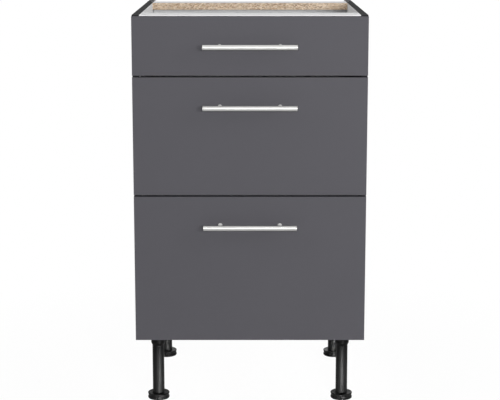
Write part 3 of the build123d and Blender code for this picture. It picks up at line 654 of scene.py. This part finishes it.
def foot_mesh():
    """Foot with a ring to stand on, a hollowed and notched rim, a dished top and a threaded stem."""
    profile = [(0, SOLE_HOLLOW), (17.5 * MM, SOLE_HOLLOW), (18.5 * MM, 0)]
    profile += round_edge(FOOT_RADIUS - SOLE_EDGE, SOLE_EDGE, SOLE_EDGE, -90, 0)
    for step in range(9):
        part = step / 8
        profile.append((FOOT_RADIUS - RIM_HOLLOW * math.sin(math.pi * part), (4 + 8 * part) * MM))
    profile += round_edge(FOOT_RADIUS - RIM_EDGE, FOOT_DISC - RIM_EDGE, RIM_EDGE, 0, 90)
    profile += [(21.5 * MM, FOOT_DISC), (20.9 * MM, FOOT_DISC - DISH), (14.6 * MM, FOOT_DISC - DISH),
                (14.0 * MM, FOOT_DISC), (STEM_RADIUS + 0.2 * MM, FOOT_DISC),
                (STEM_RADIUS, FOOT_DISC + 0.2 * MM)]
    profile += levels(STEM_RADIUS, FOOT_DISC + 1.5 * MM, FOOT_TOP - 1.5 * MM, FOOT_THREAD_PITCH / 6)
    profile += [(STEM_RADIUS - 1.5 * MM, FOOT_TOP), (0, FOOT_TOP)]
    winding = thread(FOOT_DISC + 2 * MM, FOOT_TOP - 2 * MM, FOOT_THREAD_PITCH, 1.1 * MM)
    body = turned(profile, 72, winding)
    notch = turned([(0, -FOOT_NOTCH_REACH), (FOOT_NOTCH_RADIUS, -FOOT_NOTCH_REACH),
                    (FOOT_NOTCH_RADIUS, FOOT_NOTCH_HEIGHT), (0, FOOT_NOTCH_HEIGHT)], 24)
    places = []
    for quarter in range(4):
        turn = Matrix.Rotation(FOOT_TURN + quarter * math.pi / 2, 4, "Z")
        places.append(turn @ Matrix.Translation((0, -FOOT_RADIUS, 0)))
    return cut_away(body, joined(notch, places))


black_plastic = moulded_finish("black_polypropylene", LEG_BLACK, 0.5, 0.2, 0.06)
dress(["leg_sockets"], black_plastic)
foot = foot_mesh()
for corner in CORNERS:
    dress([f"leg_tube_{corner}"], black_plastic)
    low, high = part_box(f"foot_{corner}")
    middle = (low + high) / 2
    piece(f"threaded_foot_{corner}", joined(foot, [Matrix.Translation((middle.x, middle.y, low.z))]),
          f"foot_{corner}", black_plastic, [f"foot_{corner}"])


# ---- runners ----
# Three rails rolled from galvanised strip on each side of a drawer, with nylon rollers in
# pressed cages between them. Rolling leaves fine lines along the rail, and the webs are punched.

GALVANISED = "#b4b7ba"
NYLON_WHITE = "#dedcd2"
# holes as distance from the rail's front end, length along the rail and height, in millimetres
CABINET_RAIL_HOLES = ((19, 6.4, 6.4), (52, 4.5, 9), (84, 9, 4.5), (131, 4.5, 9), (163, 9, 4.5),
                      (195, 6.4, 6.4), (227, 4.5, 9), (291, 9, 4.5), (323, 4.5, 9), (355, 6.4, 6.4),
                      (420, 9, 4.5))
MIDDLE_RAIL_HOLES = ((24, 16, 8), (72, 6, 6), (225, 48, 8), (378, 6, 6), (426, 16, 8))
DRAWER_RAIL_HOLES = ((20, 10, 5), (90, 5, 5), (150, 12, 6), (300, 12, 6), (360, 5, 5), (430, 10, 5))
RIVET_PLACES = (45, 225, 405)     # millimetres from the drawer rail's front end
RIVET_RADIUS = 3.2 * MM
RIVET_HEIGHT = 0.8 * MM
RAIL_STRIP = 1.2 * MM             # thickness
ACROSS = Matrix(((0, 0, 1), (1, 0, 0), (0, 1, 0))).to_4x4()     # turns a punch from Z to work along X


def bare_copy(node):
    """A CAD node's mesh as one closed skin, without its stored normals."""
    mesh = nodes[node].data.copy()
    if "custom_normal" in mesh.attributes:
        mesh.attributes.remove(mesh.attributes["custom_normal"])
    made = bmesh.new()
    made.from_mesh(mesh)
    bmesh.ops.remove_doubles(made, verts=made.verts, dist=0.001 * MM)
    bpy.data.meshes.remove(mesh)
    return finished_mesh(made)


def punched_rails(node, holes, finish):
    """The rails of a node with holes through both webs."""
    low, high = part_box(node)
    height = (low.z + high.z) / 2
    punches = []
    for distance, length, width in holes:
        along = length >= width
        punch = stadium(max(length, width) * MM, min(length, width) * MM, high.x + 5 * MM)
        upright = Matrix.Rotation(0 if along else math.pi / 2, 4, "X")
        punch.transform(Matrix.Translation((0, low.y + distance * MM, height)) @ upright @ ACROSS)
        punches.append(punch)
    mesh = cut_away(bare_copy(node), together(punches))
    piece(f"punched_{node}", mesh, nodes[node]["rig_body"], finish, [node])


def rivet_mesh():
    """Domed head of a spot rivet, its flat side at Z = 0."""
    flat = RIVET_HEIGHT / RIVET_RADIUS
    dome = [(radius, height * flat) for radius, height in round_edge(0, 0, RIVET_RADIUS, 0, 80, 8)]
    return turned([(0, 0)] + dome + [(0, RIVET_HEIGHT)], 24)


rolled_steel = metal_finish("galvanised_strip", GALVANISED, 0.36, 1.2 * MM, 0.12, (1.0, 0.04, 1.0))
nylon = moulded_finish("natural_nylon", NYLON_WHITE, 0.4, 0.1)
for number in DRAWERS:
    punched_rails(f"cabinet_rails_{number}", CABINET_RAIL_HOLES, rolled_steel)
    punched_rails(f"middle_rails_{number}", MIDDLE_RAIL_HOLES, rolled_steel)
    punched_rails(f"drawer_rails_{number}", DRAWER_RAIL_HOLES, rolled_steel)
    dress([f"outer_roller_cages_{number}", f"inner_roller_cages_{number}"], nylon)
    low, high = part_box(f"drawer_rails_{number}")
    web = solid_boxes(f"drawer_rails_{number}")[0][1].x - RAIL_STRIP
    places = []
    for distance in RIVET_PLACES:
        for side in (-1, 1):
            place = (side * abs(web), low.y + distance * MM, (low.z + high.z) / 2)
            places.append(set_at(place, side * X_AXIS))
    piece(f"drawer_rail_rivets_{number}", joined(rivet_mesh(), places), f"drawer_{number}",
          rolled_steel)


# ---- drawer boxes ----
# Double-wall sides folded from 1 mm steel and powder coated light grey, like the side rods of
# the deep drawers. Powder melts to a slight orange peel. The front brackets are moulded, and the
# back board is screwed to tabs turned in at the rear of the sides.

POWDER_GREY = "#d3d5d6"
ACETAL_GREY = "#8a8d90"
WINDOW_FROM_FRONT = 19.0 * MM     # adjusting screws behind the inner wall
WINDOW_HEIGHTS = (24.0 * MM, 62.0 * MM)
WINDOW_WIDTH = 9.0 * MM
ADJUSTER_RADIUS = 3.7 * MM
ADJUSTER_LENGTH = 5.5 * MM
BRACKET_POCKET = 6.0 * MM
POCKET_WIDTH = 2 * ADJUSTER_RADIUS + 0.6 * MM
WALL_FROM_BRACKET = 10.4 * MM     # inner face of the bracket, from its outermost edge
TAB_SCREW_X = 197.8 * MM
TAB_SCREW_HEIGHTS = (28.0 * MM, 62.0 * MM)
PAN_HEAD_RADIUS = 3.6 * MM
PAN_HEAD_HEIGHT = 2.16 * MM
SCREW_TURNS = 900.0               # radians per metre, so that each screw has stopped at another angle
TAB_SCREW_TURNS = 700.0


def adjuster_mesh():
    """Flat adjusting screw with a cross recess, its face at Z = 0."""
    profile = [(0, 0), (ADJUSTER_RADIUS - 0.3 * MM, 0), (ADJUSTER_RADIUS, 0.3 * MM),
               (ADJUSTER_RADIUS, ADJUSTER_LENGTH), (0, ADJUSTER_LENGTH)]
    return cut_away(turned(profile, 28), cross_recess(5.0 * MM, 1.8 * MM))


def pan_screw_mesh():
    """Pan-head screw of the back board, its head's flat underside at Z = 0 and its point up."""
    flat = PAN_HEAD_HEIGHT / PAN_HEAD_RADIUS
    dome = [(radius, -height * flat) for radius, height in round_edge(0, 0, PAN_HEAD_RADIUS, 80, 0, 8)]
    profile = [(0, -PAN_HEAD_HEIGHT)] + dome + [(SCREW_RADIUS, 0)]
    profile += levels(SCREW_RADIUS, 0.4 * MM, 13.0 * MM, SCREW_THREAD_STEP) + [(0, SCREW_LENGTH)]
    shank = turned(profile, 20, thread(1.0 * MM, 13.4 * MM, SCREW_THREAD_PITCH, SCREW_THREAD_DEPTH))
    recess = cross_recess(4.4 * MM, 1.5 * MM)
    recess.transform(Matrix.Translation((0, 0, -PAN_HEAD_HEIGHT)))
    return cut_away(shank, recess)


def drawer_box(number):
    """Windows in the inner walls, adjusting screws in pockets of the brackets, screws of the back."""
    body = f"drawer_{number}"
    low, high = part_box(f"drawer_side_left_{number}")
    inner_x = abs(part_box(f"front_brackets_{number}")[0].x) - WALL_FROM_BRACKET
    y = low.y + WINDOW_FROM_FRONT
    windows, pockets, screws = [], [], []
    for height in WINDOW_HEIGHTS:
        z = low.z + height
        window = stadium(WINDOW_WIDTH, WINDOW_WIDTH, inner_x + 0.9 * MM)
        window.transform(Matrix.Translation((0, y, z)) @ ACROSS)
        windows.append(window)
        for side in (-1, 1):
            pocket = stadium(POCKET_WIDTH, POCKET_WIDTH, BRACKET_POCKET)
            pocket.transform(Matrix.Translation((side * inner_x, y, z)) @ ACROSS)
            pockets.append(pocket)
            place = (side * (inner_x + 0.2 * MM), y, z)
            screws.append(set_at(place, side * X_AXIS, height * SCREW_TURNS))
    for side in ("left", "right"):
        node = f"drawer_side_{side}_{number}"
        mesh = cut_away(bare_copy(node), together(windows))
        piece(f"windowed_{node}", mesh, body, coated_steel, [node])
    node = f"front_brackets_{number}"
    mesh = cut_away(bare_copy(node), together(pockets))
    piece(f"pocketed_{node}", mesh, body, bracket_plastic, [node])
    piece(f"front_adjusters_{number}", joined(adjuster_mesh(), screws), body, plated_steel)
    places = []
    for height in TAB_SCREW_HEIGHTS:
        for side in (-1, 1):
            place = (side * TAB_SCREW_X, high.y, low.z + height)
            places.append(set_at(place, -Y_AXIS, height * TAB_SCREW_TURNS + side))
    piece(f"back_board_screws_{number}", joined(pan_screw_mesh(), places), body, plated_steel)


coated_steel = moulded_finish("powder_coated_steel", POWDER_GREY, 0.42, 0.25)
bracket_plastic = moulded_finish("grey_acetal", ACETAL_GREY, 0.4, 0.15)
for number in DRAWERS:
    drawer_box(number)
dress(["gallery_rods_2", "gallery_rods_3"], coated_steel)


# ---- fronts ----
# Chipboard 18 mm thick with the same anthracite melamine on both faces and matching bands on
# all four edges, whose arris is scraped to a small radius. Soft buffers at the corners meet the
# edges of the carcass.

BUFFER_CLOUDY = "#c9cac6"
BUFFER_RADIUS = 4.5 * MM
BUFFER_THICKNESS = 1.7 * MM
BUFFER_FROM_SIDE = 8.0 * MM
BUFFER_FROM_EDGE = 14.0 * MM


def front_finish():
    """Anthracite melamine with bands of the same grey, scraped dull."""
    finish = start_finish("anthracite_melamine", OUTSIDE_GREY, IOR=1.5, Specular_IOR_Level=0.15)
    edge = either(finish, [faces_towards(finish, way) for way in UP_AND_DOWN + SIDEWAYS])
    pressed_surface(finish, linear(OUTSIDE_GREY)[:3], PEARL_RELIEF, MELAMINE_ROUGHNESS, edge)
    return finish


def buffer_mesh():
    """Self-adhesive buffer, its flat side at Z = 0."""
    dome = [(radius, height * BUFFER_THICKNESS / BUFFER_RADIUS)
            for radius, height in round_edge(0, 0, BUFFER_RADIUS, 0, 80, 8)]
    return turned([(0, 0)] + dome + [(0, BUFFER_THICKNESS)], 28)


anthracite = front_finish()
buffer_plastic = moulded_finish("cast_polyurethane", BUFFER_CLOUDY, 0.3, 0.05)
dress([f"drawer_front_{number}" for number in DRAWERS], anthracite)
for number in DRAWERS:
    low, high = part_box(f"drawer_front_{number}")
    places = []
    for height in (low.z + BUFFER_FROM_EDGE, high.z - BUFFER_FROM_EDGE):
        for side in (-1, 1):
            places.append(set_at((side * (high.x - BUFFER_FROM_SIDE), high.y, height), Y_AXIS))
    piece(f"front_buffers_{number}", joined(buffer_mesh(), places), f"drawer_{number}",
          buffer_plastic)


# ---- handles ----
# Round bar of stainless steel on two posts, brushed along its length. A machine screw with a
# flat cross-recessed head goes through the front into each post.

BAR_STEEL = "#b6b6b4"
POST_STEEL = "#e0e0de"
BAR_ROUGHNESS = 0.38
POST_ROUGHNESS = 0.85
BRUSH_STROKE = 60.0 * MM
BRUSH_LINE = 0.12 * MM
BLAST_GRIT = 0.2 * MM
BAR_RADIUS = 6.0 * MM
HANDLE_SCREW_RADIUS = 2.0 * MM
HANDLE_SCREW_LENGTH = 32.4 * MM
HANDLE_SCREW_HEAD = (4.0 * MM, 2.4 * MM)      # radius and height


def brushed_finish(bar_back):
    """Bar brushed along its length, which spreads light round it, and blasted posts behind it."""
    finish = start_finish("brushed_stainless_steel", BAR_STEEL, Metallic=1.0)
    place = add(finish, "TexCoord", output="Object")
    y = add(finish, "SeparateXYZ", {"Vector": place}, output="Y")
    post = add(finish, "Math", {0: y, 1: bar_back}, operation="GREATER_THAN")
    drawn = add(finish, "VectorMath", {0: place, 1: (1 / BRUSH_STROKE, 1 / BRUSH_LINE, 1 / BRUSH_LINE)},
                operation="MULTIPLY")
    lines = add(finish, "TexNoise", {"Vector": drawn, "Scale": 1.0, "Detail": 2.0})
    grit = add(finish, "TexNoise", {"Vector": place, "Scale": 1 / BLAST_GRIT, "Detail": 2.0})
    height = add(finish, "Mix", {"Factor": post, "A": lines, "B": grit})
    rough = add(finish, "MapRange", {"Value": lines, "From Min": 0.3, "From Max": 0.7,
                                     "To Min": BAR_ROUGHNESS - 0.04, "To Max": BAR_ROUGHNESS + 0.04})
    rough = add(finish, "Mix", {"Factor": post, "A": rough, "B": POST_ROUGHNESS})
    colour = add(finish, "MixRGB", {"Fac": post, "Color1": linear(BAR_STEEL), "Color2": linear(POST_STEEL)})
    bump = add(finish, "Bump", {"Height": height, "Strength": 0.12, "Distance": 0.02 * MM})
    feed(finish, Base_Color=colour, Roughness=rough, Normal=bump)
    return finish


def machine_screw_mesh():
    """Screw of a handle, its head's face at Z = 0."""
    head_radius, head_height = HANDLE_SCREW_HEAD
    thread_start = head_height + 0.4 * MM
    profile = [(0, 0), (head_radius - 0.8 * MM, 0), (head_radius - 0.2 * MM, 0.3 * MM),
               (head_radius, 0.8 * MM), (head_radius, head_height), (HANDLE_SCREW_RADIUS, head_height)]
    profile += levels(HANDLE_SCREW_RADIUS, thread_start, HANDLE_SCREW_LENGTH - 0.6 * MM, 0.25 * MM)
    profile += [(HANDLE_SCREW_RADIUS - 0.6 * MM, HANDLE_SCREW_LENGTH), (0, HANDLE_SCREW_LENGTH)]
    shank = turned(profile, 20, thread(thread_start, HANDLE_SCREW_LENGTH, 1.0 * MM, 0.3 * MM))
    return cut_away(shank, cross_recess(4.6 * MM, 1.5 * MM))


bar_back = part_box("handle_1")[0].y + 1.9 * BAR_RADIUS
dress([f"handle_{number}" for number in DRAWERS], brushed_finish(bar_back))
for number in DRAWERS:
    places = []
    for box in solid_boxes(f"handle_screws_{number}"):
        middle = middle_of(box)
        places.append(set_at((middle.x, box[1].y, middle.z), -Y_AXIS, middle.x * SCREW_TURNS))
    piece(f"handle_machine_screws_{number}", joined(machine_screw_mesh(), places), f"drawer_{number}",
          plated_steel, [f"handle_screws_{number}"])


# ---- floor, light and camera ----
# A plain pale floor, white to the camera, under soft studio light from the front and above. The
# two low lamps have narrow beams along the floor, which reach the legs and miss the fronts.

FLOOR_GREY = "#e8e8e8"
FLOOR_HALF = 30.0
SHADOW_REACH = (0.4, 1.0)         # the floor turns from lit paper to plain white between these
WHITE_SHARE = 0.97                # of the floor beside the cabinet, so that its shadow stays
WORLD_LIGHT = 0.21                # strength of the white surroundings, where they aren't seen directly
LENS_LENGTH = 103.97              # millimetres, like the sensor
SENSOR_WIDTH = 36.0
LENS_SHIFT = -0.025
CAMERA_PLACE = (0, -3.3148, 1.0736)
CAMERA_DOWN = 10.619              # degrees below level


def seen_directly(finish):
    """1 for a ray from the camera, from a polished surface or through a clear one."""
    rays = ("Is Camera Ray", "Is Glossy Ray", "Is Transmission Ray")
    return either(finish, [add(finish, "LightPath", output=ray) for ray in rays])


def floor_sheet():
    """Floor that the lamps light, white to the camera except for part of the cabinet's shadow."""
    mesh = bpy.data.meshes.new("studio_floor")
    corners = [(x * FLOOR_HALF, y * FLOOR_HALF, 0) for x, y in ((-1, -1), (1, -1), (1, 1), (-1, 1))]
    mesh.from_pydata(corners, [], [(0, 1, 2, 3)])
    floor = bpy.data.objects.new("studio_floor", mesh)
    bpy.context.scene.collection.objects.link(floor)
    finish = start_finish("white_floor_paper", FLOOR_GREY, Roughness=0.9)
    tree = finish.node_tree
    glow = add(finish, "Emission", {"Color": (1, 1, 1, 1), "Strength": 1.0})
    away = add(finish, "VectorMath", {0: add(finish, "TexCoord", output="Object")}, output="Value",
               operation="LENGTH")
    white = add(finish, "MapRange", {"Value": away, "From Min": SHADOW_REACH[0], "From Max": SHADOW_REACH[1],
                                     "To Min": WHITE_SHARE, "To Max": 1.0})
    part = add(finish, "Math", {0: seen_directly(finish), 1: white}, operation="MULTIPLY")
    mixed = add(finish, "MixShader", {0: part, 1: tree.nodes["Principled BSDF"].outputs["BSDF"], 2: glow})
    tree.links.new(mixed, tree.nodes["Material Output"].inputs["Surface"])
    mesh.materials.append(finish)


def studio_world():
    """White surroundings to the camera, which light the cabinet only a little."""
    world = bpy.data.worlds.new("studio")
    world.use_nodes = True
    bpy.context.scene.world = world
    strength = add(world, "MapRange", {"Value": seen_directly(world), "To Min": WORLD_LIGHT, "To Max": 1.0})
    background = world.node_tree.nodes["Background"]
    world.node_tree.links.new(strength, background.inputs["Strength"])
    background.inputs["Color"].default_value = (1, 1, 1, 1)


def soft_box(name, place, target, size, power, spread=180):
    """A soft light of this width and height, aimed at a point, with a grid that narrows its spread."""
    lamp = bpy.data.lights.new(name, "AREA")
    lamp.spread = math.radians(spread)
    lamp.shape = "RECTANGLE"
    lamp.size, lamp.size_y = size
    lamp.energy = power
    light = bpy.data.objects.new(name, lamp)
    bpy.context.scene.collection.objects.link(light)
    light.location = place
    light.rotation_euler = (Vector(target) - Vector(place)).to_track_quat("-Z", "Y").to_euler()


def studio_camera():
    """Camera in front of the cabinet, a little above its top."""
    lens = bpy.data.cameras.new("camera")
    lens.lens = LENS_LENGTH
    lens.sensor_width = SENSOR_WIDTH
    lens.shift_y = LENS_SHIFT
    camera = bpy.data.objects.new("camera", lens)
    bpy.context.scene.collection.objects.link(camera)
    camera.location = CAMERA_PLACE
    camera.rotation_euler = (math.radians(90 - CAMERA_DOWN), 0, 0)
    bpy.context.scene.camera = camera


floor_sheet()
studio_world()
soft_box("key", (1.45, -2.9, 0.68), (0, 0, 0.4), (0.5, 1.35), 3.2)
soft_box("front", (0.7, -3.55, 1.15), (0, 0, 0.8), (1.6, 0.2), 60)
soft_box("over", (0, -0.7, 2.5), (0, 0, 0.6), (2.6, 1.6), 9.6)
soft_box("right", (2.3, -1.5, 1.5), (0, 0, 0.6), (1.0, 1.4), 24)
soft_box("left", (-2.3, -1.5, 1.5), (0, 0, 0.6), (1.0, 1.4), 12)
soft_box("low_left", (0.3, -1.5, 0.05), (-0.2, -0.2, 0.05), (0.3, 0.05), 1.3, 8)
soft_box("low_right", (0.3, -1.5, 0.05), (0.2, -0.2, 0.05), (0.3, 0.05), 1.3, 8)
soft_box("rear", (0.4, 3.0, 0.43), (0, 0, 0.43), (1.8, 0.8), 26)
studio_camera()
bpy.context.scene.view_settings.view_transform = "Standard"
